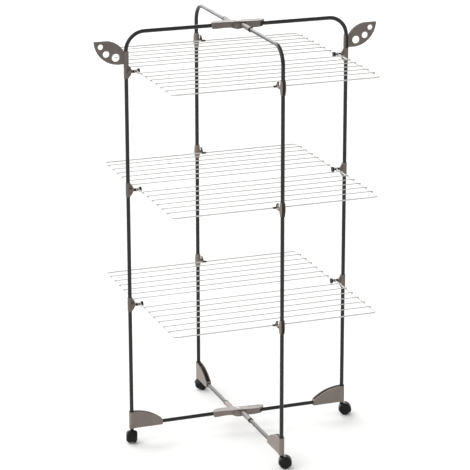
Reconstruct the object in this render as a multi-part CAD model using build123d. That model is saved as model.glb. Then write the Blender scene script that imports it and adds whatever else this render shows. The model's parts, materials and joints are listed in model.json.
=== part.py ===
from build123d import *
import os
from math import sqrt

# A tower clothes airer. Two bent-tube frames cross at hinged hubs and stand on four twin-wheel castors.
# Three tiers of drying wires, each in two half-grids, hang on the left and right legs and drop down to fold.
# Row frame: X runs from the left leg to the right leg, -Y is the front, +Z is up, z = 0 is the floor.
# Every piece is drawn once on an "arm": x is the distance from the centre line, then turned to its side.

# ---- driving dimensions, mm ----
LEG_REACH = 350.0          # leg axis from the centre line
BAR_OFFSET = 10.0          # half-bars sit this far beside the centre line, so the folded frames lie flat
TUBE_R = 6.0
TUBE_WALL = 0.8
TOP_Z = 1302.5             # axis of the top bars
BOTTOM_Z = 53.5            # axis of the bottom bars
BEND_R = 58.0              # centre-line radius of the top corners
TIER_Z = {"top": 1184.5, "middle": 818.5, "bottom": 452.5}

# ---- fits ----
FIT = 0.05                 # radial clearance of a tube in a socket, and of a running pin
TOUCH = 0.02               # gap between parts that only touch
LOOSE = 0.2                # gap round parts that are pushed in by hand
OVERRUN = 1.0              # how far a cut runs past the face it opens
FAR = 120.0                # length of cuts that run right out of a small part

# ---- arms: turn about Z in degrees, and which side of the centre line the half-bar lies ----
ARMS = {
    "left": (180, -BAR_OFFSET),
    "right": (0, -BAR_OFFSET),
    "front": (-90, BAR_OFFSET),
    "back": (90, BAR_OFFSET),
}
SIDE_ARMS = ("left", "right")
CROSS_ARMS = ("front", "back")

# ---- hubs ----
FOLD = 78.0                # degrees the cross frame turns to fold, clockwise from above
FOLD_ROOM = 0.8            # clearance cut round the folded sleeves
HUB_TOP = 11.5             # hub body height above and below the bar axis
HUB_BOTTOM = -9.0
HUB_ROOF = 8.0             # underside of the roof that joins the two halves
HUB_RIM = ((0, -15), (30, -20), (60, -21.5), (81, -10), (85, 2), (60, 9), (30, 13))
HUB_KEEL = ((0, -9), (30, -16.5), (60, -17), (76, -9), (80, -3), (60, 0), (30, -1.5))
HUB_EDGE_R = 1.6
HUB_MOUTH = 66.0           # from here outwards the hub is open beside the bar
MOUTH_ROOM = 0.6
LENS = (28.0, 74.0)        # leaf-shaped panel on the roof: reach of its two points
LENS_SIDE = (1.5, 6.0)
LENS_BOW = 3.5
LENS_GROOVE = 1.8          # depth of the groove round the panel
LENS_RIM = (2.0, 1.3)      # width of the groove at the points and along the sides
BOSS_R = 18.0
BOSS_TOP = 7.6
BOSS_BOTTOM = -10.0
BOSS_GAP = 0.6
SWEEP_ROOM = 8.0           # the hub's side walls start this far from the centre line
TUBE_START = 20.0          # inner end of every half-bar
SLEEVE_R = 7.6
SLEEVE_ROOT = 2.0
SLEEVE_END = 84.0
RING_R = 8.3
RING_LENGTH = 2.5
PIVOT_R = 3.5
PIVOT_HEAD_R = 5.6
PIVOT_HEAD_H = 2.6
PIVOT_NUT_R = 6.0
PIVOT_NUT_H = 4.0
PIVOT_NUT_GAP = 0.3
PIVOT_RECESS = 2.0
PIVOT_RECESS_ROOM = 0.4
DRIVER_SLOT = (0.6, 0.8)   # half-width and depth

# ---- foot shells ----
FOOT_WIDTH = 17.0
FOOT_WALL = 2.1
FOOT_FLOOR_Z = 44.5
FOOT_TOP_Z = 98.0
FOOT_TIP = 251.0
FOOT_TIP_TOP_Z = 62.0
FOOT_CREST = (291.0, 87.0)  # a point on the curved top edge: reach, height
FOOT_CREST_END = 9.0       # the curved edge ends this far inside the leg axis
FOOT_EDGE_R = 1.2
SLEEVE_FLOOR_Z = 43.0
LEG_END_Z = 47.7
SPIGOT_TOP_Z = 79.5
INSERT_DEPTH = 5.0         # top of the black insert below the shell's curved edge
INSERT_START = 7.0         # inner end of the insert from the shell's tip
MOUTH_RING_R = 7.9
MOUTH_RING_H = 2.4

# ---- castors ----
WHEEL_R = 18.5
WHEEL_WIDTH = 11.5
WHEEL_INNER = 4.5          # inner face of each wheel from the castor's middle plane
WHEEL_DOME = 7.5           # the outer face is rounded well into the tread
WHEEL_EDGE_R = 1.5
DISH = (5.5, 9.0, 1.6)     # inner radius, outer radius and depth of the ring-shaped dish
AXLE_INSET = 1.0
TRAIL = 11.0               # axle behind the swivel axis
STEM_R = 3.5
AXLE_R = 2.5
HOOD_GAP = 0.8
HOOD_WALL = 1.6
HOOD_HALF_WIDTH = 17.4
HOOD_DOME = 8.6
HOOD_TILT = 22.0           # the hood reaches lower behind the axle than in front
HOOD_SKIRT = 2.0           # edge of the hood below the axle
WEB_GAP = 1.5              # between the centre web and each wheel
WEB_DROP = 9.0             # edge of the web below the axle
NECK_R = 5.5
NECK_FOOT = 12.0           # the neck grows out of the hood this far above the axle
NECK_GAP = 0.4
STEM_INSET = 2.0           # the stem ends this far below the top of its spigot
CASTOR_HEADING = {"left": -110.0, "right": -20.0, "front": -20.0, "back": 20.0}

# ---- tier brackets ----
BRACKET_LOW = -22.0
BRACKET_HIGH = 21.4
PIVOT_COLLAR_R = 7.4
CLIP_BARREL = (7.3, 9.5, 7.7)   # clip radius at its foot, its middle and its top
CLIP_SLOT = 4.8            # half-width of the slot that lets a clip snap on to its leg
CLIP_WING_TIP = 339.0
CLIP_BOSS_R = 3.4
BOSS_START = 3.0           # the clip's boss starts this far inside its wing's tip
WING_TIP = 334.0
WING_SIDE = (0.5, 6.0)     # the wing lies beside the leg axis, towards the centre line
WING_ROOT = 4.0            # the wing is rooted in the collar this far outside the leg axis
WING_UPPER = (0.8, 5.0)    # upper corner of the wing's nose: reach from its tip, height
WING_LOWER = (1.2, -7.0)   # a point on its round lower half
WING_EDGE_R = 1.0
BOSS_WEB = (2.5, 2.0)      # the boss's web starts this far along the boss and ends short of the leg axis
BOSS_WEB_HALF = 2.5
BOSS_WING_R = 4.4          # boss on the wing that reaches the centre line
GRID_PIN_R = 2.5
GRID_PIN_IN = 313.0        # inner end of a hinge pin
GRID_PIN_OUT = 341.0
FLANGE_R = 4.6
FLANGE_IN = 329.8
SPACER_R = 3.8
SPACER = (322.6, 324.4)    # keeps the two eyelets on a pin apart
GRID_CAP_R = 8.5
GRID_CAP = (311.8, 317.2)
GRID_CAP_EDGE_R = 1.0
HOOK_ARCH = (14.0, 16.4)   # inner and outer radius of the hook's finger
HOOK_ARCH_AT = (336.6, 0.0)
HOOK_FINGER = (0.2, 3.2)   # the finger lies on the leg's side of the centre line
HOOK_SADDLE = (-10.5, 3.2) # length of the half-sleeve that lies along the outer wire
HOOK_SADDLE_WALL = 1.2
HOOK_WEB = 2.6             # thickness of the hook's upright web and of its foot
HOOK_RISE = -1.5           # the finger ends and the bridge starts this far from the pin's height
HOOK_RUN = 3.0             # the finger runs this far past the top of its arch

# ---- half-grids ----
FRAME_WIRE_R = 2.0
CROSS_WIRE_R = 1.6
GRID_DEPTH = 325.0         # outer wire from the hinge pins
GRID_NEAR = 320.0          # the side wire that sits inside its partner's on the shared pin
GRID_FAR = 327.0
GRID_CORNER_R = 12.0
FIRST_WIRE = 43.0
WIRE_PITCH = 47.0
WIRE_COUNT = 6
WIRE_OVERHANG = 4.0
EYELET_GAP = 0.3

# ---- leaf hangers ----
LEAF_THICKNESS = 3.2
LEAF_LOW_Z = 1206.5
LEAF_COLLAR_TOP_Z = 1246.0
LEAF_TOP_Z = 1280.5
LEAF_TIP = 449.0
LEAF_COLLAR_R = 8.4
LEAF_SLOT = 4.0
LEAF_ROOT = 7.0            # the leaf is rooted in the collar this far outside the leg axis
LEAF_BASE = 368.0          # where the straight lower edge turns into the belly
LEAF_BELLY = (427.5, 1230.0)
LEAF_BACK = (376.0, 1267.5)
LEAF_SHOULDER = 409.0
LEAF_HOLES = (             # reach from the centre line, height, radius
    (382.0, 1228.2, 12.0),
    (411.5, 1240.7, 10.0),
    (428.5, 1263.5, 8.0),
)


def place(arm, shape):
    """Turn a piece drawn on its leg's axis round to its own side of the airer."""
    angle, offset = ARMS[arm]
    return Rot(0, 0, angle) * Pos(0, offset, 0) * shape


def place_centred(arm, shape):
    """Turn a piece drawn on the centre line round to its own side of the airer."""
    return Rot(0, 0, ARMS[arm][0]) * shape


def post(radius, low, high, x=0.0, y=0.0):
    """Upright cylinder between two heights."""
    return Pos(x, y, (low + high) / 2) * Cylinder(radius, high - low)


def rod_x(radius, start, end, z=0.0, y=0.0):
    """Cylinder along X between two distances."""
    return Pos((start + end) / 2, y, z) * Rot(0, 90, 0) * Cylinder(radius, end - start)


def rod_y(radius, start, end, x=0.0, z=0.0):
    """Cylinder along Y between two distances."""
    return Pos(x, (start + end) / 2, z) * Rot(90, 0, 0) * Cylinder(radius, end - start)


def block(x_range, y_range, z_range):
    """Box between two corners."""
    size = [high - low for low, high in (x_range, y_range, z_range)]
    middle = [(high + low) / 2 for low, high in (x_range, y_range, z_range)]
    return Pos(*middle) * Box(*size)


def upright_plate(outline, thickness):
    """Extrude an outline drawn in X and Z equally to both sides of y = 0."""
    face = Plane.XZ * make_face(outline)
    return extrude(face, amount=thickness / 2, both=True)


def leg_tube():
    """Half a frame in one bent tube: upright leg, top corner and half of the top bar."""
    corner_z = TOP_Z - BEND_R
    corner_x = LEG_REACH - BEND_R
    leg = Line((LEG_REACH, 0, LEG_END_Z), (LEG_REACH, 0, corner_z))
    diagonal = BEND_R / sqrt(2)
    middle = (corner_x + diagonal, 0, corner_z + diagonal)
    bend = ThreePointArc((LEG_REACH, 0, corner_z), middle, (corner_x, 0, TOP_Z))
    bar = Line((corner_x, 0, TOP_Z), (TUBE_START, 0, TOP_Z))
    path = leg + bend + bar
    section = Pos(LEG_REACH, 0, LEG_END_Z) * (Circle(TUBE_R) - Circle(TUBE_R - TUBE_WALL))
    return sweep(section, path=path)


def bottom_bar():
    """Straight tube from the bottom hub to the foot shell."""
    end = LEG_REACH - TUBE_R - 3
    outside = rod_x(TUBE_R, TUBE_START, end, BOTTOM_Z)
    return outside - rod_x(TUBE_R - TUBE_WALL, TUBE_START - 1, end + 1, BOTTOM_Z)


def half_turn_outline(points, z):
    """Closed outline made of the given points and the same points turned half a turn about the centre."""
    turned = [(-x, -y) for x, y in points]
    return Pos(0, 0, z) * make_face(Spline(*points, *turned, periodic=True))


def hub_body():
    """Boat-shaped moulding that holds both half-bars of the side frame and roofs over the turning boss."""
    body = loft([half_turn_outline(HUB_KEEL, HUB_BOTTOM), half_turn_outline(HUB_RIM, HUB_TOP)])
    body = fillet(body.faces().sort_by(Axis.Z)[-1].edges(), HUB_EDGE_R)
    body -= Pos(0, 0, HUB_TOP - LENS_GROOVE) * extrude(lens_groove(), amount=LENS_GROOVE + OVERRUN)
    floor = HUB_BOTTOM - OVERRUN
    body -= post(BOSS_R + BOSS_GAP, floor, HUB_ROOF)
    side_half = BOSS_R + OVERRUN
    mouth_half = TUBE_R + MOUTH_ROOM
    for turn in (0, 180):
        sweep_room = block((-side_half, side_half), (-FAR, -SWEEP_ROOM), (floor, HUB_ROOF))
        socket = rod_x(TUBE_R + FIT, 0, FAR, y=-BAR_OFFSET)
        mouth = block((HUB_MOUTH, FAR), (-FAR, -BAR_OFFSET + 3), (-mouth_half, mouth_half))
        body -= Rot(0, 0, turn) * (sweep_room + socket + mouth)
        folded_sleeve = rod_y(SLEEVE_R + FOLD_ROOM, -SLEEVE_END - RING_LENGTH, -SLEEVE_ROOT, x=BAR_OFFSET)
        below_roof = block((-FAR, FAR), (-FAR, FAR), (-FAR, HUB_ROOF))
        body -= Rot(0, 0, turn - FOLD) * folded_sleeve & Rot(0, 0, turn) * below_roof
    body -= post(PIVOT_R, 0, FAR)
    return body - post(PIVOT_HEAD_R + PIVOT_RECESS_ROOM, HUB_TOP - PIVOT_RECESS, FAR)


def lens_groove():
    """Outline of the groove round the leaf-shaped panel on the roof."""
    start, end = LENS
    low, high = LENS_SIDE
    tip, side = LENS_RIM
    return lens(start, end, low, high) - lens(start + tip, end - tip, low + side, high - side)


def lens(start, end, low, high):
    """Leaf shape along X between two bowed sides."""
    middle = (start + end) / 2
    near = ThreePointArc((start, low), (middle, low - LENS_BOW), (end, low))
    far = ThreePointArc((end, low), (middle, high), (start, low))
    return make_face([near, far])


def hub_cross():
    """Turning boss of the cross frame with a sleeve for each of its half-bars."""
    part = post(BOSS_R, BOSS_BOTTOM, BOSS_TOP)
    for turn in (0, 180):
        sleeve = rod_y(SLEEVE_R, -SLEEVE_END, -SLEEVE_ROOT, x=BAR_OFFSET)
        part += Rot(0, 0, turn) * sleeve
    for turn in (0, 180):
        socket = rod_y(TUBE_R + FIT, -SLEEVE_END - OVERRUN, -TUBE_START + TOUCH, x=BAR_OFFSET)
        part -= Rot(0, 0, turn) * socket
    return part - post(PIVOT_R + FIT, -FAR, FAR)


def sleeve_rings(z):
    """Black end rings on the two sleeves of one hub."""
    start = -SLEEVE_END - RING_LENGTH
    ring = rod_y(RING_R, start, -SLEEVE_END - TOUCH, x=BAR_OFFSET, z=z)
    ring -= rod_y(TUBE_R + FIT, start - OVERRUN, -SLEEVE_END + OVERRUN, x=BAR_OFFSET, z=z)
    return [ring, Rot(0, 0, 180) * ring]


def hub_pivot(z):
    """Headed pin down through a hub, with its nut under the boss."""
    seat = HUB_TOP - PIVOT_RECESS
    pin = post(PIVOT_R - TOUCH, BOSS_BOTTOM - OVERRUN, seat + OVERRUN)
    head_top = seat + PIVOT_HEAD_H
    head = post(PIVOT_HEAD_R, seat + TOUCH, head_top)
    slot_half, slot_depth = DRIVER_SLOT
    head -= block((-FAR, FAR), (-slot_half, slot_half), (head_top - slot_depth, FAR))
    low = BOSS_BOTTOM - PIVOT_NUT_GAP - PIVOT_NUT_H
    nut = Pos(0, 0, low) * extrude(RegularPolygon(PIVOT_NUT_R, 6), amount=PIVOT_NUT_H)
    return Pos(0, 0, z) * (pin + head + nut)


def foot_shell():
    """Corner moulding: two side walls, an open curved top, a leg sleeve and a spigot for the castor stem."""
    top_left = (FOOT_TIP, FOOT_TIP_TOP_Z)
    top_right = (LEG_REACH - FOOT_CREST_END, FOOT_TOP_Z)
    outline = [
        Line((LEG_REACH, FOOT_FLOOR_Z), (FOOT_TIP, FOOT_FLOOR_Z)),
        Line((FOOT_TIP, FOOT_FLOOR_Z), top_left),
        ThreePointArc(top_left, FOOT_CREST, top_right),
        Line(top_right, (LEG_REACH, FOOT_TOP_Z)),
        Line((LEG_REACH, FOOT_TOP_Z), (LEG_REACH, FOOT_FLOOR_Z)),
    ]
    shell = upright_plate(outline, FOOT_WIDTH)
    side_edges = shell.edges().filter_by(Plane.XZ).group_by(Axis.Z)[0]
    shell = fillet(side_edges, FOOT_EDGE_R)
    half_inside = FOOT_WIDTH / 2 - FOOT_WALL
    floor = FOOT_FLOOR_Z + FOOT_WALL
    shell -= block((FOOT_TIP + FOOT_WALL, LEG_REACH), (-half_inside, half_inside), (floor, FOOT_TOP_Z + FAR))
    shell += post(FOOT_WIDTH / 2, SLEEVE_FLOOR_Z, FOOT_TOP_Z, x=LEG_REACH)
    shell -= post(TUBE_R + FIT, LEG_END_Z - TOUCH, FOOT_TOP_Z + FAR, x=LEG_REACH)
    shell -= rod_x(TUBE_R + FIT, FOOT_TIP - OVERRUN, LEG_REACH, BOTTOM_Z)
    shell += post(TUBE_R - TUBE_WALL - FIT, SLEEVE_FLOOR_Z, SPIGOT_TOP_Z, x=LEG_REACH)
    return shell - post(STEM_R + FIT, 0, FOOT_TOP_Z + FAR, x=LEG_REACH)


def foot_insert():
    """Black insert that locks the bottom bar between the shell's walls, below the open curved top."""
    low = BOTTOM_Z + TUBE_R + LOOSE
    start = FOOT_TIP + INSERT_START
    end = LEG_REACH - FOOT_WIDTH / 2 - LOOSE
    crest_x, crest_z = FOOT_CREST
    outline = [
        ThreePointArc((start, low), (crest_x + 2, crest_z - INSERT_DEPTH), (end, FOOT_TOP_Z - INSERT_DEPTH)),
        Line((end, FOOT_TOP_Z - INSERT_DEPTH), (end, low)),
        Line((end, low), (start, low)),
    ]
    return upright_plate(outline, FOOT_WIDTH - 2 * FOOT_WALL - LOOSE)


def mouth_ring():
    """Black ring on the mouth of the foot's leg sleeve."""
    low = FOOT_TOP_Z + TOUCH
    ring = post(MOUTH_RING_R, low, low + MOUTH_RING_H, x=LEG_REACH)
    return ring - post(TUBE_R + FIT, low - OVERRUN, low + MOUTH_RING_H + OVERRUN, x=LEG_REACH)


def castor(arm, shape):
    """Move a castor drawn at its swivel axis, trailing along +X, to its leg and heading."""
    angle, offset = ARMS[arm]
    spot = Rot(0, 0, angle) * Pos(LEG_REACH, offset, 0)
    return Pos(*spot.position) * Rot(0, 0, CASTOR_HEADING[arm]) * shape


def castor_fork():
    """Swivel stem, centre web and the domed hood that covers both wheels."""
    inner = WHEEL_R + HOOD_GAP
    hood = rod_y(inner + HOOD_WALL, -HOOD_HALF_WIDTH, HOOD_HALF_WIDTH)
    hood = fillet(hood.edges().filter_by(GeomType.CIRCLE), HOOD_DOME)
    room_half = WHEEL_INNER + WHEEL_WIDTH + HOOD_GAP
    room = rod_y(inner, -room_half, room_half)
    hood -= fillet(room.edges().filter_by(GeomType.CIRCLE), WHEEL_DOME)
    hood -= Rot(0, HOOD_TILT, 0) * block((-FAR, FAR), (-FAR, FAR), (-FAR, -HOOD_SKIRT))
    web_half = WHEEL_INNER - WEB_GAP
    web = rod_y(inner + HOOD_WALL / 2, -web_half, web_half)
    web -= block((-FAR, FAR), (-FAR, FAR), (-FAR, -WEB_DROP))
    fork = Pos(TRAIL, 0, WHEEL_R) * (hood + web)
    neck = post(NECK_R, WHEEL_R + NECK_FOOT, SLEEVE_FLOOR_Z - NECK_GAP)
    wheel_room = rod_y(inner, web_half, FAR, x=TRAIL, z=WHEEL_R)
    neck -= wheel_room + mirror(wheel_room, Plane.XZ)
    fork += neck + post(STEM_R, WHEEL_R + inner, SPIGOT_TOP_Z - STEM_INSET)
    return fork - rod_y(AXLE_R + FIT, -FAR, FAR, x=TRAIL, z=WHEEL_R)


def castor_wheels():
    """Two moulded wheels with domed and dished outer faces."""
    far = WHEEL_INNER + WHEEL_WIDTH
    wheel = rod_y(WHEEL_R, WHEEL_INNER, far)
    rims = wheel.edges().filter_by(GeomType.CIRCLE).sort_by(Axis.Y)
    wheel = fillet(rims[:1], WHEEL_EDGE_R)
    rims = wheel.edges().filter_by(GeomType.CIRCLE).sort_by(Axis.Y)
    wheel = fillet(rims[-1:], WHEEL_DOME)
    dish_in, dish_out, dish_depth = DISH
    wheel -= rod_y(dish_out, far - dish_depth, FAR) - rod_y(dish_in, far - dish_depth, FAR)
    wheel -= rod_y(AXLE_R + TOUCH, -FAR, FAR)
    wheel = Pos(TRAIL, 0, WHEEL_R) * wheel
    return [wheel, mirror(wheel, Plane.XZ)]


def castor_axle():
    """Steel pin through both wheels and the web."""
    half = WHEEL_INNER + WHEEL_WIDTH - AXLE_INSET
    return rod_y(AXLE_R, -half, half, x=TRAIL, z=WHEEL_R)


def half_moon(inward, tip):
    """Wing on a tier bracket: straight upper slope, rounder lower half; inward is the side it lies on."""
    root = LEG_REACH + WING_ROOT
    side = LEG_REACH - TUBE_R
    nose = (tip + WING_UPPER[0], WING_UPPER[1])
    outline = [
        Line((root, BRACKET_HIGH), (side, BRACKET_HIGH - 1)),
        Line((side, BRACKET_HIGH - 1), nose),
        ThreePointArc(nose, (tip + WING_LOWER[0], WING_LOWER[1]), (side, BRACKET_LOW + 2)),
        Line((side, BRACKET_LOW + 2), (root, BRACKET_LOW)),
        Line((root, BRACKET_LOW), (root, BRACKET_HIGH)),
    ]
    face = Plane.XZ * make_face(outline)
    near, far = WING_SIDE
    wing = extrude(face, amount=(far - near) / 2, both=True)
    wing = fillet(wing.edges().filter_by(GeomType.CIRCLE), WING_EDGE_R)
    return Pos(0, inward * (near + far) / 2, 0) * wing


def centre_boss(inward, radius, start):
    """Boss that reaches from the wing to the centre line, with the web that joins it to the collar."""
    web_start, web_end = BOSS_WEB
    end = LEG_REACH - web_end
    web_y = sorted((0, inward * BAR_OFFSET))
    web = block((start + web_start, end), web_y, (-BOSS_WEB_HALF, BOSS_WEB_HALF))
    return rod_x(radius, start, end, y=inward * BAR_OFFSET) + web


def pivot_bracket():
    """Closed sleeve on a side leg, with the wing and boss that carry the tier's hinge pin."""
    part = post(PIVOT_COLLAR_R, BRACKET_LOW, BRACKET_HIGH, x=LEG_REACH) + half_moon(1, WING_TIP)
    part += centre_boss(1, BOSS_WING_R, WING_TIP + 0.5)
    part -= post(TUBE_R + FIT, -FAR, FAR, x=LEG_REACH)
    return part - rod_x(GRID_PIN_R + TOUCH, WING_TIP - 5, GRID_PIN_OUT + TOUCH, y=BAR_OFFSET)


def clip_bracket():
    """Barrel-shaped clip that snaps on to a cross leg from inside and carries the tier's snap hook."""
    foot_r, middle_r, top_r = CLIP_BARREL
    outline = [
        Line((0, BRACKET_LOW), (foot_r, BRACKET_LOW)),
        ThreePointArc((foot_r, BRACKET_LOW), (middle_r, -2), (top_r, BRACKET_HIGH)),
        Line((top_r, BRACKET_HIGH), (0, BRACKET_HIGH)),
        Line((0, BRACKET_HIGH), (0, BRACKET_LOW)),
    ]
    barrel = revolve(Plane.XZ * make_face(outline), Axis.Z)
    part = Pos(LEG_REACH, 0, 0) * barrel + half_moon(-1, CLIP_WING_TIP)
    part += centre_boss(-1, CLIP_BOSS_R, CLIP_WING_TIP - BOSS_START)
    part -= post(TUBE_R + FIT, -FAR, FAR, x=LEG_REACH)
    return part - block((LEG_REACH, LEG_REACH + FAR), (-CLIP_SLOT, CLIP_SLOT), (-FAR, FAR))


def snap_hook():
    """Black hook: a curved finger over the outer wire of a half-grid and a half-sleeve along the wire."""
    arch_x, arch_z = HOOK_ARCH_AT
    inner, outer = HOOK_ARCH
    finger = rod_y(outer, *HOOK_FINGER, x=arch_x, z=arch_z)
    finger -= rod_y(inner, *HOOK_FINGER, x=arch_x, z=arch_z)
    finger -= block((arch_x - FAR, arch_x + FAR), HOOK_FINGER, (-FAR, arch_z + HOOK_RISE))
    finger -= block((arch_x + HOOK_RUN, arch_x + FAR), HOOK_FINGER, (-FAR, FAR))
    seat = CLIP_WING_TIP - BOSS_START - TOUCH
    web = block((seat - HOOK_WEB, seat), HOOK_FINGER, (0, arch_z + inner))
    slot_r = FRAME_WIRE_R + EYELET_GAP
    saddle = rod_y(slot_r + HOOK_SADDLE_WALL, *HOOK_SADDLE, x=GRID_DEPTH)
    bridge = block((GRID_DEPTH, seat), HOOK_FINGER, (HOOK_RISE, slot_r + 1))
    hook = finger + web + saddle + bridge + rod_x(CLIP_BOSS_R, seat - HOOK_WEB, seat)
    hook -= rod_y(slot_r, -FAR, FAR, x=GRID_DEPTH)
    return hook - block((GRID_DEPTH - slot_r, GRID_DEPTH + slot_r), (-FAR, FAR), (-FAR, 0))


def hinge_pin():
    """Hinge pin of a tier: flange against the wing's boss and a spacer between the two eyelets."""
    pin = rod_x(GRID_PIN_R, GRID_PIN_IN, GRID_PIN_OUT)
    pin += rod_x(FLANGE_R, FLANGE_IN, WING_TIP + 0.5 - TOUCH)
    return pin + rod_x(SPACER_R, *SPACER)


def pin_cap():
    """Push-on cap that keeps both eyelets on the pin."""
    cap = rod_x(GRID_CAP_R, *GRID_CAP)
    cap = fillet(cap.edges().filter_by(GeomType.CIRCLE), GRID_CAP_EDGE_R)
    return cap - rod_x(GRID_PIN_R + TOUCH, GRID_PIN_IN - TOUCH, GRID_PIN_IN + 10)


def half_grid_frame(z):
    """Bent wire of the front half-grid: outer run, two side runs and an eyelet at each end."""
    outer_y = -GRID_DEPTH
    loop_r = GRID_PIN_R + EYELET_GAP + FRAME_WIRE_R
    left, right = -GRID_NEAR, GRID_FAR
    path = FilletPolyline(
        (left, -loop_r, 0), (left, outer_y, 0), (right, outer_y, 0), (right, -loop_r, 0),
        radius=GRID_CORNER_R,
    )
    section = Plane(origin=(left, -loop_r, 0), z_dir=(0, -1, 0)) * Circle(FRAME_WIRE_R)
    frame = sweep(section, path=path)
    for x in (left, right):
        frame += Pos(x, 0, 0) * Rot(0, 90, 0) * Torus(loop_r, FRAME_WIRE_R)
    return Pos(0, 0, z) * frame


def half_grid_wires(z):
    """Straight cross wires welded on top of the side runs of the front half-grid."""
    height = z + FRAME_WIRE_R + CROSS_WIRE_R + TOUCH
    start = -GRID_NEAR - WIRE_OVERHANG
    end = GRID_FAR + WIRE_OVERHANG
    rows = [-(FIRST_WIRE + WIRE_PITCH * i) for i in range(WIRE_COUNT)]
    return [rod_x(CROSS_WIRE_R, start, end, height, y) for y in rows]


def leaf_hanger():
    """Leaf-shaped plate with three holes for coat hangers, on a clip collar that turns on the leg."""
    root = LEG_REACH + LEAF_ROOT
    shoulder = (LEAF_SHOULDER, LEAF_TOP_Z)
    tip = (LEAF_TIP, LEAF_TOP_Z)
    base = (LEAF_BASE, LEAF_LOW_Z)
    outline = [
        ThreePointArc(tip, LEAF_BELLY, base),
        Line(base, (root, LEAF_LOW_Z)),
        Line((root, LEAF_LOW_Z), (root, LEAF_COLLAR_TOP_Z)),
        ThreePointArc((root, LEAF_COLLAR_TOP_Z), LEAF_BACK, shoulder),
        Line(shoulder, tip),
    ]
    leaf = upright_plate(outline, LEAF_THICKNESS)
    for reach, height, radius in LEAF_HOLES:
        leaf -= rod_y(radius, -FAR, FAR, x=reach, z=height)
    part = leaf + post(LEAF_COLLAR_R, LEAF_LOW_Z, LEAF_COLLAR_TOP_Z, x=LEG_REACH)
    part -= post(TUBE_R + FIT, LEAF_LOW_Z - OVERRUN, LEAF_TOP_Z, x=LEG_REACH)
    slot_x = (LEG_REACH - LEAF_SLOT, LEG_REACH + LEAF_SLOT)
    return part - block(slot_x, (-FAR, 0), (LEAF_LOW_Z - OVERRUN, LEAF_TOP_Z))


def save(node, shapes):
    """Write one node; a list of shapes is a group of separate solids."""
    solids = shapes if isinstance(shapes, list) else [shapes]
    flat = [solid for shape in solids for solid in shape.solids()]
    body = flat[0] if len(flat) == 1 else Compound(children=flat)
    export_step(body, f"parts/{node}.step")


def main():
    os.makedirs("parts", exist_ok=True)
    half_turn = Rot(0, 0, 180)

    for arm in ARMS:
        save(f"{arm}_leg_tube", place(arm, leg_tube()))
        save(f"{arm}_bottom_bar", place(arm, bottom_bar()))
        save(f"{arm}_foot_shell", place(arm, foot_shell()))
        save(f"{arm}_castor_fork", castor(arm, castor_fork()))
        save(f"{arm}_castor_wheels", [castor(arm, wheel) for wheel in castor_wheels()])
        save(f"{arm}_castor_axle", castor(arm, castor_axle()))
        bracket = pivot_bracket() if arm in SIDE_ARMS else clip_bracket()
        for tier, z in TIER_Z.items():
            save(f"{arm}_{tier}_bracket", place(arm, Pos(0, 0, z) * bracket))

    for level, z in (("top", TOP_Z), ("bottom", BOTTOM_Z)):
        save(f"{level}_hub_body", Pos(0, 0, z) * hub_body())
        save(f"{level}_hub_cross", Pos(0, 0, z) * hub_cross())
    save("hub_pivot_pins", [hub_pivot(z) for z in (TOP_Z, BOTTOM_Z)])
    side_inserts = [place(arm, make()) for arm in SIDE_ARMS for make in (foot_insert, mouth_ring)]
    cross_inserts = [place(arm, make()) for arm in CROSS_ARMS for make in (foot_insert, mouth_ring)]
    save("side_frame_inserts", side_inserts)
    save("cross_frame_inserts", cross_inserts + sleeve_rings(TOP_Z) + sleeve_rings(BOTTOM_Z))

    heights = TIER_Z.values()
    pins = [place_centred(arm, Pos(0, 0, z) * hinge_pin()) for arm in SIDE_ARMS for z in heights]
    caps = [place_centred(arm, Pos(0, 0, z) * pin_cap()) for arm in SIDE_ARMS for z in heights]
    hooks = [place_centred(arm, Pos(0, 0, z) * snap_hook()) for arm in CROSS_ARMS for z in heights]
    save("tier_hinge_pins", pins)
    save("tier_pin_caps", caps)
    save("tier_snap_hooks", hooks)

    for tier, z in TIER_Z.items():
        frame = half_grid_frame(z)
        wires = half_grid_wires(z)
        save(f"front_{tier}_grid_frame", frame)
        save(f"front_{tier}_grid_wires", wires)
        save(f"back_{tier}_grid_frame", half_turn * frame)
        save(f"back_{tier}_grid_wires", [half_turn * wire for wire in wires])

    for arm in SIDE_ARMS:
        save(f"{arm}_leaf_hanger", place(arm, leaf_hanger()))


main()
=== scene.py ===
import bmesh
import bpy
import json
import math
from mathutils import Matrix, Vector


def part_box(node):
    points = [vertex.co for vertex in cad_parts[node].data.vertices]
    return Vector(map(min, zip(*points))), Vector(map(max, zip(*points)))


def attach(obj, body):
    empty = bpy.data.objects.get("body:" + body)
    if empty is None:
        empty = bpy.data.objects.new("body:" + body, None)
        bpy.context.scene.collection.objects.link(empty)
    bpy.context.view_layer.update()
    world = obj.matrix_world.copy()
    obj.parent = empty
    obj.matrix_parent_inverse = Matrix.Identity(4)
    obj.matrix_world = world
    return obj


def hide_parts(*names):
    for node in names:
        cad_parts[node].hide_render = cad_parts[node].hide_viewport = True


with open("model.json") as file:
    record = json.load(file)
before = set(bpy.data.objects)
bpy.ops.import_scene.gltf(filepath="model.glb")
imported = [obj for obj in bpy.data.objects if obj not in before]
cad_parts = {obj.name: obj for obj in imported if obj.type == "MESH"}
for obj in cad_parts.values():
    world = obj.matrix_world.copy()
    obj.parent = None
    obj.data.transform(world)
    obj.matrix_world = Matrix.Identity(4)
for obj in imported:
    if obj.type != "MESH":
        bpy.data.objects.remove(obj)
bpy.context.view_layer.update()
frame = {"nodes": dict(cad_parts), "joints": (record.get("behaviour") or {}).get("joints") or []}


# ---- legs and bars ----
# Thin-wall steel tube, 12 mm across, bent cold at the top corners and pushed into the plastic hubs and feet.
# It is powder coated in anthracite and baked, which leaves a hard glossy skin with a faint orange peel.

ARMS = ("left", "right", "front", "back")
MM = 0.001


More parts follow.
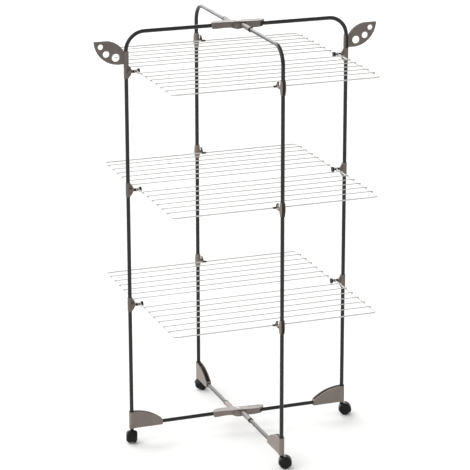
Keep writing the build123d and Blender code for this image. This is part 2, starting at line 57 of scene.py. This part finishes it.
def linear(hex_colour):
    """Linear RGBA of an sRGB hex colour."""
    channels = [int(hex_colour[i:i + 2], 16) / 255 for i in (1, 3, 5)]
    curve = [c / 12.92 if c <= 0.04045 else ((c + 0.055) / 1.055) ** 2.4 for c in channels]
    return (*curve, 1.0)


def add(tree, kind, settings=(), links=()):
    """Add a node, give it its settings and link its inputs."""
    node = tree.nodes.new(kind)
    for name, value in dict(settings).items():
        if isinstance(name, str) and hasattr(node, name):
            setattr(node, name, value)
        else:
            node.inputs[name].default_value = value
    for name, source in dict(links).items():
        tree.links.new(source, node.inputs[name])
    return node


def start_material(name):
    """New material, its node tree and the place on the object in metres."""
    material = bpy.data.materials.new(name)
    material.use_nodes = True
    tree = material.node_tree
    tree.nodes.clear()
    place = add(tree, "ShaderNodeTexCoord").outputs["Object"]
    return material, tree, place


def end_material(tree, shader):
    """Send the shader to the surface."""
    add(tree, "ShaderNodeOutputMaterial", links={"Surface": shader.outputs["BSDF"]})


def finish_nodes(names, material):
    """Give CAD nodes their finish."""
    for name in names:
        for material_slot in frame["nodes"][name].material_slots:
            material_slot.material = material


COAT_DARK = "#101111"
COAT_LIGHT = "#191A1A"
COAT_PEEL = 1.6 * MM          # orange peel is nearer 1 mm across, drawn coarser so that it shows
COAT_BATCH = 45 * MM          # slow change of film thickness along a tube
COAT_RELIEF = 0.05 * MM

powder_coat, tree, place = start_material("anthracite gloss powder coat")
film = add(tree, "ShaderNodeTexNoise", {"Scale": 1 / COAT_BATCH, "Detail": 3.0}, {"Vector": place})
peel = add(tree, "ShaderNodeTexNoise", {"Scale": 1 / COAT_PEEL, "Detail": 2.0}, {"Vector": place})
tone = add(tree, "ShaderNodeMix", {"data_type": "RGBA", 6: linear(COAT_DARK), 7: linear(COAT_LIGHT)},
           {0: film.outputs["Fac"]})
gloss = add(tree, "ShaderNodeMapRange", {"From Min": 0.3, "From Max": 0.7, "To Min": 0.2, "To Max": 0.32},
            {"Value": film.outputs["Fac"]})
bump = add(tree, "ShaderNodeBump", {"Strength": 0.12, "Distance": COAT_RELIEF},
           {"Height": peel.outputs["Fac"]})
shader = add(tree, "ShaderNodeBsdfPrincipled",
             {"IOR": 1.5, "Specular IOR Level": 0.3, "Coat Weight": 0.15, "Coat Roughness": 0.2},
             {"Base Color": tone.outputs[2], "Roughness": gloss.outputs["Result"],
              "Normal": bump.outputs["Normal"]})
end_material(tree, shader)
finish_nodes([f"{arm}_{part}" for arm in ARMS for part in ("leg_tube", "bottom_bar")], powder_coat)


# ---- hubs, feet, tier brackets and leaf hangers ----
# Warm grey ABS, injection moulded in spark-eroded tools, so the skin is satin with a very fine grain.
# They hold the tubes, clip on to the legs, and are pushed or snapped together without glue.
# The feet, the lower hub and the snap-on clips get a lighter copy of the same warm grey ABS as painted
# light, standing in for the light that falls on them; the hooks are darker.

SIDE_ARMS = ("left", "right")
CROSS_ARMS = ("front", "back")
TIERS = ("top", "middle", "bottom")
ABS_FLOW = 22 * MM            # soft streaks where the melt cooled
ABS_GRAIN = 0.9 * MM          # spark-eroded grain is about 0.2 mm, drawn coarser so that it shows
ABS_RELIEF = 0.06 * MM


def satin_abs(name, shade, light):
    """Satin moulded ABS between two close tones."""
    material, tree, place = start_material(name)
    flow = add(tree, "ShaderNodeTexNoise", {"Scale": 1 / ABS_FLOW, "Detail": 4.0, "Distortion": 0.6},
               {"Vector": place})
    grain = add(tree, "ShaderNodeTexNoise", {"Scale": 1 / ABS_GRAIN, "Detail": 4.0, "Roughness": 0.7},
                {"Vector": place})
    tone = add(tree, "ShaderNodeMix", {"data_type": "RGBA", 6: linear(shade), 7: linear(light)},
               {0: flow.outputs["Fac"]})
    satin = add(tree, "ShaderNodeMapRange",
                {"From Min": 0.3, "From Max": 0.7, "To Min": 0.36, "To Max": 0.5},
                {"Value": grain.outputs["Fac"]})
    bump = add(tree, "ShaderNodeBump", {"Strength": 0.35, "Distance": ABS_RELIEF},
               {"Height": grain.outputs["Fac"]})
    shader = add(tree, "ShaderNodeBsdfPrincipled", {"IOR": 1.53},
                 {"Base Color": tone.outputs[2], "Roughness": satin.outputs["Result"],
                  "Normal": bump.outputs["Normal"]})
    end_material(tree, shader)
    return material


dark_abs = satin_abs("warm grey satin ABS", "#564D48", "#655C56")
# A lighter copy of the same warm grey ABS: painted light on the parts that catch more light.
painted_light_abs = satin_abs("warm grey satin ABS lightened as painted light", "#6E635C", "#7E736C")
hook_abs = satin_abs("dark grey satin ABS", "#332F2D", "#403B38")
finish_nodes([f"{arm}_{tier}_bracket" for arm in SIDE_ARMS for tier in TIERS], dark_abs)
# The cross brackets take the lighter copy as painted light.
finish_nodes([f"{arm}_{tier}_bracket" for arm in CROSS_ARMS for tier in TIERS], painted_light_abs)
finish_nodes(["tier_snap_hooks"], hook_abs)
finish_nodes([f"{arm}_leaf_hanger" for arm in SIDE_ARMS] + ["top_hub_body", "top_hub_cross"], dark_abs)
# The feet and the lower hub take the lighter copy as painted light.
finish_nodes([f"{arm}_foot_shell" for arm in ARMS] + ["bottom_hub_body", "bottom_hub_cross"], painted_light_abs)


# ---- hinge pins, caps, foot inserts as painted shade, and rings ----
# Black polypropylene: the tiers' hinge pins, the caps that keep the wire eyelets on them, and the end rings
# on the sleeves.
# The inserts at the bottom bars in the feet take the same black as painted shade, darkening the hollow tops
# of the feet.
# Polished tools leave a low waxy gloss.

PP_SHADE = "#0C0C0C"
PP_LIGHT = "#151414"
PP_MOTTLE = 4 * MM
PP_RELIEF = 0.05 * MM

black_pp_and_painted_shade, tree, place = start_material("black polypropylene and painted shade")
mottle = add(tree, "ShaderNodeTexNoise", {"Scale": 1 / PP_MOTTLE, "Detail": 5.0}, {"Vector": place})
tone = add(tree, "ShaderNodeMix", {"data_type": "RGBA", 6: linear(PP_SHADE), 7: linear(PP_LIGHT)},
           {0: mottle.outputs["Fac"]})
wax = add(tree, "ShaderNodeMapRange", {"From Min": 0.3, "From Max": 0.7, "To Min": 0.3, "To Max": 0.44},
          {"Value": mottle.outputs["Fac"]})
bump = add(tree, "ShaderNodeBump", {"Strength": 0.2, "Distance": PP_RELIEF},
           {"Height": mottle.outputs["Fac"]})
shader = add(tree, "ShaderNodeBsdfPrincipled", {"IOR": 1.49, "Specular IOR Level": 0.25},
             {"Base Color": tone.outputs[2], "Roughness": wax.outputs["Result"],
              "Normal": bump.outputs["Normal"]})
end_material(tree, shader)
# The frame inserts get this black as painted shade in the hollow tops of the feet.
finish_nodes(["tier_hinge_pins", "tier_pin_caps", "side_frame_inserts", "cross_frame_inserts"], black_pp_and_painted_shade)


# ---- hub pivots and castor axles ----
# Turned steel pins, zinc plated and passivated. The plating is bright but slightly cloudy,
# with fine turning lines that spread the highlights.

ZINC_DULL = "#8A8C8D"
ZINC_BRIGHT = "#A9ABAC"
ZINC_CLOUD = 3 * MM
ZINC_LINE = 0.5 * MM          # turning lines are nearer 0.1 mm apart, drawn coarser so that they show
ZINC_RELIEF = 0.02 * MM

zinc, tree, place = start_material("zinc plated steel")
cloud = add(tree, "ShaderNodeTexNoise", {"Scale": 1 / ZINC_CLOUD, "Detail": 5.0}, {"Vector": place})
turning = add(tree, "ShaderNodeTexWave", {"Scale": 1 / ZINC_LINE, "Distortion": 1.5}, {"Vector": place})
tone = add(tree, "ShaderNodeMix", {"data_type": "RGBA", 6: linear(ZINC_DULL), 7: linear(ZINC_BRIGHT)},
           {0: cloud.outputs["Fac"]})
haze = add(tree, "ShaderNodeMapRange", {"From Min": 0.3, "From Max": 0.7, "To Min": 0.26, "To Max": 0.42},
           {"Value": cloud.outputs["Fac"]})
bump = add(tree, "ShaderNodeBump", {"Strength": 0.15, "Distance": ZINC_RELIEF},
           {"Height": turning.outputs["Fac"]})
shader = add(tree, "ShaderNodeBsdfPrincipled", {"Metallic": 1.0},
             {"Base Color": tone.outputs[2], "Roughness": haze.outputs["Result"],
              "Normal": bump.outputs["Normal"]})
end_material(tree, shader)
finish_nodes(["hub_pivot_pins"] + [f"{arm}_castor_axle" for arm in ARMS], zinc)


# ---- half-grids ----
# Each is a 4 mm steel wire bent into a three-sided frame that ends in an eyelet round each hinge pin,
# with six 3.2 mm drying wires resistance-welded on top. The whole piece is dipped in white epoxy and baked.

FRAME_WIRE_R = 2.0 * MM
DRYING_WIRE_R = 1.6 * MM
DRYING_WIRES = 6
CORNER_R = 12 * MM
EYELET_R = 4.8 * MM           # centre line of the wire round the pin
EYELET_RUN = 12 * MM          # length over which the side wire dips to meet its eyelet
EYELET_START = 170            # the cut end of the wire, in degrees round the pin from straight outwards
EYELET_STEPS = 20
DIP_STEPS = 8
CORNER_STEPS = 8
EPOXY_PALE = "#C0C0BE"
EPOXY_THIN = "#AFAFAD"
EPOXY_SAG = 14 * MM           # the dip runs a little before it is baked
EPOXY_PEEL = 1.8 * MM
EPOXY_RELIEF = 0.05 * MM

white_epoxy, tree, place = start_material("white epoxy dip")
sag = add(tree, "ShaderNodeTexNoise", {"Scale": 1 / EPOXY_SAG, "Detail": 3.0}, {"Vector": place})
peel = add(tree, "ShaderNodeTexNoise", {"Scale": 1 / EPOXY_PEEL, "Detail": 2.0}, {"Vector": place})
tone = add(tree, "ShaderNodeMix", {"data_type": "RGBA", 6: linear(EPOXY_THIN), 7: linear(EPOXY_PALE)},
           {0: sag.outputs["Fac"]})
gloss = add(tree, "ShaderNodeMapRange", {"From Min": 0.3, "From Max": 0.7, "To Min": 0.24, "To Max": 0.38},
            {"Value": sag.outputs["Fac"]})
bump = add(tree, "ShaderNodeBump", {"Strength": 0.3, "Distance": EPOXY_RELIEF},
           {"Height": peel.outputs["Fac"]})
shader = add(tree, "ShaderNodeBsdfPrincipled", {"IOR": 1.55},
             {"Base Color": tone.outputs[2], "Roughness": gloss.outputs["Result"],
              "Normal": bump.outputs["Normal"]})
end_material(tree, shader)


def arc(centre, radius, start, end, steps, across, up):
    """Points round an arc; start and end are degrees from across towards up."""
    points = []
    for i in range(steps + 1):
        turn = math.radians(start + (end - start) * i / steps)
        points.append(centre + radius * (math.cos(turn) * across + math.sin(turn) * up))
    return points


WIRE_ROUNDNESS = 4
WIRE_DOME = (0.35, 0.7, 0.92, 0.995)    # where the rings of a domed wire end lie, as a share of its radius


def wire_piece(name, routes, radius, material, body, replaced):
    """Round wires along routes of points, each with domed ends, as one piece on a body."""
    curve = bpy.data.curves.new(name, "CURVE")
    curve.dimensions = "3D"
    curve.bevel_depth = radius
    curve.bevel_resolution = WIRE_ROUNDNESS
    curve.use_fill_caps = True
    for route in routes:
        first = (route[0] - route[1]).normalized()
        last = (route[-1] - route[-2]).normalized()
        dome = [(reach, math.sqrt(1 - reach * reach)) for reach in WIRE_DOME]
        points = [(route[0] + first * radius * (reach - 1), girth) for reach, girth in reversed(dome)]
        points += [(point, 1.0) for point in route[1:-1]]
        points += [(route[-1] + last * radius * (reach - 1), girth) for reach, girth in dome]
        spline = curve.splines.new("POLY")
        spline.points.add(len(points) - 1)
        for spline_point, (place_on_wire, girth) in zip(spline.points, points):
            spline_point.co = (*place_on_wire, 1)
            spline_point.radius = girth
    piece = bpy.data.objects.new(name, curve)
    bpy.context.scene.collection.objects.link(piece)
    curve.materials.append(material)
    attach(piece, body)
    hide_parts(replaced)
    return piece


def grid_frame_route(low, high, side):
    """Centre line of a frame wire from eyelet to eyelet; side is -1 for a front half and 1 for a back."""
    x_low = low.x + FRAME_WIRE_R
    x_high = high.x - FRAME_WIRE_R
    reach = max(abs(low.y), abs(high.y)) - FRAME_WIRE_R
    z = (low.z + high.z) / 2
    out = Vector((0, side, 0))
    up = Vector((0, 0, 1))
    loop = arc(Vector((x_low, 0, z)), EYELET_R, EYELET_START, -90, EYELET_STEPS, out, up)
    dip = []
    for i in range(1, DIP_STEPS + 1):
        share = i / DIP_STEPS
        ease = share * share * (3 - 2 * share)
        dip.append(Vector((x_low, side * EYELET_RUN * share, z - EYELET_R * (1 - ease))))
    start = loop + dip
    corner = Vector((x_low + CORNER_R, side * (reach - CORNER_R), z))
    start += arc(corner, CORNER_R, 180, 90, CORNER_STEPS, Vector((1, 0, 0)), out)
    middle = (x_low + x_high) / 2
    mirrored = [Vector((2 * middle - point.x, point.y, point.z)) for point in reversed(start)]
    return start + mirrored


WELD_WIDE = 2.5               # half sizes in mm: along the drying wire, along the side wire, and height
WELD_LONG = 3.3
WELD_HIGH = 1.5
WELD_UNEVEN_WIDE = 0.35       # most that one weld differs from these, in mm
WELD_UNEVEN_LONG = 0.4
WELD_RIPPLE = 0.06            # waves on the squeezed metal, as a share of its size


def weld_nuggets(name, places, material, body):
    """Squeezed welds between crossing wires: low rounded pads, each a little different."""
    shape = bmesh.new()
    for index, centre in enumerate(places):
        made = bmesh.ops.create_icosphere(shape, subdivisions=3, radius=1.0)["verts"]
        wide = WELD_WIDE + WELD_UNEVEN_WIDE * math.sin(index * 2.4)
        long = WELD_LONG + WELD_UNEVEN_LONG * math.cos(index * 1.7)
        for vert in made:
            ripple = 1 + WELD_RIPPLE * math.sin(5 * vert.co.x + index) * math.cos(4 * vert.co.y - index)
            size = Vector((wide, long, WELD_HIGH)) * MM * ripple
            vert.co = centre + Vector((vert.co.x * size.x, vert.co.y * size.y, vert.co.z * size.z))
    mesh = bpy.data.meshes.new(name)
    shape.to_mesh(mesh)
    shape.free()
    for polygon in mesh.polygons:
        polygon.use_smooth = True
    mesh.materials.append(material)
    piece = bpy.data.objects.new(name, mesh)
    bpy.context.scene.collection.objects.link(piece)
    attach(piece, body)


for tier in TIERS:
    for half in CROSS_ARMS:
        body = f"{half}_{tier}_grid"
        side = -1 if half == "front" else 1
        frame_low, frame_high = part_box(f"{body}_frame")
        frame_route = grid_frame_route(frame_low, frame_high, side)
        wire_piece(f"{body}_bent_frame", [frame_route], FRAME_WIRE_R, white_epoxy, body,
                   f"{body}_frame")
        wire_low, wire_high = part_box(f"{body}_wires")
        z = (wire_low.z + wire_high.z) / 2
        span = wire_high.y - wire_low.y - 2 * DRYING_WIRE_R
        rows = [wire_low.y + DRYING_WIRE_R + span * i / (DRYING_WIRES - 1) for i in range(DRYING_WIRES)]
        middle = (wire_low.x + wire_high.x) / 2
        routes = [[Vector((wire_low.x, y, z)), Vector((middle, y, z)), Vector((wire_high.x, y, z))]
                  for y in rows]
        wire_piece(f"{body}_drying_wires", routes, DRYING_WIRE_R, white_epoxy, body,
                   f"{body}_wires")
        sides = (frame_low.x + FRAME_WIRE_R, frame_high.x - FRAME_WIRE_R)
        seam = z - DRYING_WIRE_R
        weld_nuggets(f"{body}_welds", [Vector((x, y, seam)) for y in rows for x in sides], white_epoxy, body)


# ---- castors ----
# Twin-wheel furniture castors in black nylon: a hood with its swivel stem pushed up into the foot, and two
# wheels pressed on a steel axle. Each wheel has a rounded tread, a dished face and a flat hub cap.

NYLON_DARK = "#0A0A0A"
NYLON_LIGHT = "#121212"
NYLON_CLOUD = 6 * MM
SCUFF = 1.5 * MM              # fine scuffs and floor dust on the running surface
NYLON_RELIEF = 0.05 * MM

nylon, tree, place = start_material("black moulded nylon")
cloud = add(tree, "ShaderNodeTexNoise", {"Scale": 1 / NYLON_CLOUD, "Detail": 4.0}, {"Vector": place})
scuff = add(tree, "ShaderNodeTexNoise", {"Scale": 1 / SCUFF, "Detail": 6.0, "Roughness": 0.75},
            {"Vector": place})
tone = add(tree, "ShaderNodeMix", {"data_type": "RGBA", 6: linear(NYLON_DARK), 7: linear(NYLON_LIGHT)},
           {0: cloud.outputs["Fac"]})
sheen = add(tree, "ShaderNodeMapRange", {"From Min": 0.3, "From Max": 0.7, "To Min": 0.26, "To Max": 0.42},
            {"Value": scuff.outputs["Fac"]})
bump = add(tree, "ShaderNodeBump", {"Strength": 0.2, "Distance": NYLON_RELIEF},
           {"Height": scuff.outputs["Fac"]})
shader = add(tree, "ShaderNodeBsdfPrincipled", {"IOR": 1.53, "Specular IOR Level": 0.2},
             {"Base Color": tone.outputs[2], "Roughness": sheen.outputs["Result"],
              "Normal": bump.outputs["Normal"]})
end_material(tree, shader)
finish_nodes([f"{arm}_castor_fork" for arm in ARMS], nylon)

WHEEL_STEPS = 96
WHEEL_R = 18.5                # all wheel sizes in mm
WHEEL_INNER = 4.5             # inner face from the castor's middle plane
WHEEL_OUTER = 16.0
WHEEL_BORE = 2.6
CROWN = 7.2                   # widest place of the tread from the middle plane
SHOULDER_DROP = 5.0           # how much the tread falls from the crown to the inner face
FACE_R = 9.8                  # flat ring round the dish
ARC_STEPS = 10
SEAM_HALF = 0.25              # parting line round the crown of the tread
SEAM_DEPTH = 0.3
DISH_R = 9.0
DISH_DEPTH = 1.4
CAP_R = 5.6
EDGE = 0.4                    # small bevel at the edge of the dish and of the hub cap
CAP_CENTRE_R = 0.4


def swell(face, drop, start, steps):
    """Quarter ellipse of the tread towards a face; start is 0 from the crown or -90 from the inner face."""
    points = []
    for i in range(steps + 1):
        turn = math.radians(start + 90 * i / steps)
        points.append((CROWN + abs(face - CROWN) * math.sin(turn), WHEEL_R - drop + drop * math.cos(turn)))
    return points


dish_floor = WHEEL_OUTER - DISH_DEPTH
wheel_profile = [(WHEEL_INNER, WHEEL_BORE)]
wheel_profile += swell(WHEEL_INNER, SHOULDER_DROP, -90, ARC_STEPS)[:-1]
wheel_profile += [(CROWN - SEAM_HALF, WHEEL_R), (CROWN, WHEEL_R - SEAM_DEPTH), (CROWN + SEAM_HALF, WHEEL_R)]
wheel_profile += swell(WHEEL_OUTER, WHEEL_R - FACE_R, 0, ARC_STEPS)[1:]
wheel_profile += [(WHEEL_OUTER, DISH_R + EDGE), (dish_floor + EDGE, DISH_R), (dish_floor, DISH_R - EDGE)]
wheel_profile += [(dish_floor, CAP_R + EDGE), (dish_floor + EDGE, CAP_R), (WHEEL_OUTER - 2 * EDGE, CAP_R)]
wheel_profile += [(WHEEL_OUTER - EDGE, CAP_R - EDGE), (WHEEL_OUTER - EDGE / 4, CAP_CENTRE_R)]


def lathe(shape, profile, steps, mirrored):
    """Turn a profile in mm round the Y axis; mirrored puts it on the other side of the middle plane."""
    rings = []
    hand = -1 if mirrored else 1
    for along, radius in profile:
        ring = []
        for i in range(steps):
            turn = 2 * math.pi * i / steps
            ring.append(shape.verts.new(
                (radius * math.cos(turn) * MM, hand * along * MM, radius * math.sin(turn) * MM)))
        rings.append(ring)
    for ring, following in zip(rings, rings[1:]):
        for i in range(steps):
            j = (i + 1) % steps
            shape.faces.new((ring[i], ring[j], following[j], following[i]))
    shape.faces.new(rings[0])
    shape.faces.new(rings[-1])


joints = {joint["name"]: joint for joint in frame["joints"]}
for arm in ARMS:
    spin = joints[f"{arm}_wheel_spin"]
    shape = bmesh.new()
    for mirrored in (False, True):
        lathe(shape, wheel_profile, WHEEL_STEPS, mirrored)
    bmesh.ops.recalc_face_normals(shape, faces=shape.faces)
    mesh = bpy.data.meshes.new(f"{arm}_twin_wheels")
    shape.to_mesh(mesh)
    shape.free()
    mesh.transform(Vector((0, 1, 0)).rotation_difference(Vector(spin["axis"])).to_matrix().to_4x4())
    mesh.transform(Matrix.Translation(Vector(spin["pos_m"])))
    mesh.shade_smooth()
    mesh.materials.append(nylon)
    wheels = bpy.data.objects.new(f"{arm}_twin_wheels", mesh)
    bpy.context.scene.collection.objects.link(wheels)
    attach(wheels, f"{arm}_wheels")
    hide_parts(f"{arm}_castor_wheels")


# ---- studio ----
# A plain pale floor, an even white surround, a broad soft lamp high on the left and a wider one low behind,
# which the front and back bars mirror. The airer is seen from the front left, a little from above,
# through a long lens.

FLOOR_HALF = 40.0             # metres
FLOOR_COLOUR = "#ECECEB"
FLOOR_FLECK = 0.35

floor_mesh = bpy.data.meshes.new("studio_floor")
corners = [(x * FLOOR_HALF, y * FLOOR_HALF, 0) for x, y in ((-1, -1), (1, -1), (1, 1), (-1, 1))]
floor_mesh.from_pydata(corners, [], [(0, 1, 2, 3)])
floor = bpy.data.objects.new("studio_floor", floor_mesh)
bpy.context.scene.collection.objects.link(floor)
floor_paint, tree, place = start_material("matt white floor paint")
fleck = add(tree, "ShaderNodeTexNoise", {"Scale": 1 / FLOOR_FLECK}, {"Vector": place})
matt = add(tree, "ShaderNodeMapRange", {"To Min": 0.85, "To Max": 0.95}, {"Value": fleck.outputs["Fac"]})
shader = add(tree, "ShaderNodeBsdfPrincipled", {"Base Color": linear(FLOOR_COLOUR)},
             {"Roughness": matt.outputs["Result"]})
end_material(tree, shader)
floor_mesh.materials.append(floor_paint)

SURROUND_STRENGTH = 0.7
scene = bpy.context.scene
scene.view_settings.view_transform = "Standard"
surround = bpy.data.worlds.new("studio_surround")
surround.use_nodes = True
surround.node_tree.nodes["Background"].inputs["Color"].default_value = linear("#FFFFFF")
surround.node_tree.nodes["Background"].inputs["Strength"].default_value = SURROUND_STRENGTH
scene.world = surround

LAMPS = (                     # name, direction towards the lamp, strength, apparent width in degrees
    ("broad_lamp", (-0.75, -0.10, 0.65), 1.2, 50),
    ("back_lamp", (-0.22, 0.93, 0.28), 4.0, 75),
)
for name, towards, strength, width in LAMPS:
    lamp_data = bpy.data.lights.new(name, "SUN")
    lamp_data.energy = strength
    lamp_data.angle = math.radians(width)
    lamp = bpy.data.objects.new(name, lamp_data)
    lamp.rotation_euler = Vector(towards).to_track_quat("Z", "Y").to_euler()
    scene.collection.objects.link(lamp)

CAMERA_PLACE = (-2.300, -6.2285, 2.7198)
CAMERA_DOWN = 17.164          # degrees below the horizon
CAMERA_RIGHT = 20.53          # degrees towards the right from straight ahead
camera_data = bpy.data.cameras.new("camera")
camera_data.sensor_width = 36.0
camera_data.lens = 172.4
camera_data.shift_x = -0.0273
camera_data.shift_y = -0.0198
camera_data.clip_end = 100.0
camera = bpy.data.objects.new("camera", camera_data)
camera.location = CAMERA_PLACE
camera.rotation_euler = (math.radians(90 - CAMERA_DOWN), 0, math.radians(-CAMERA_RIGHT))
scene.collection.objects.link(camera)
scene.camera = camera
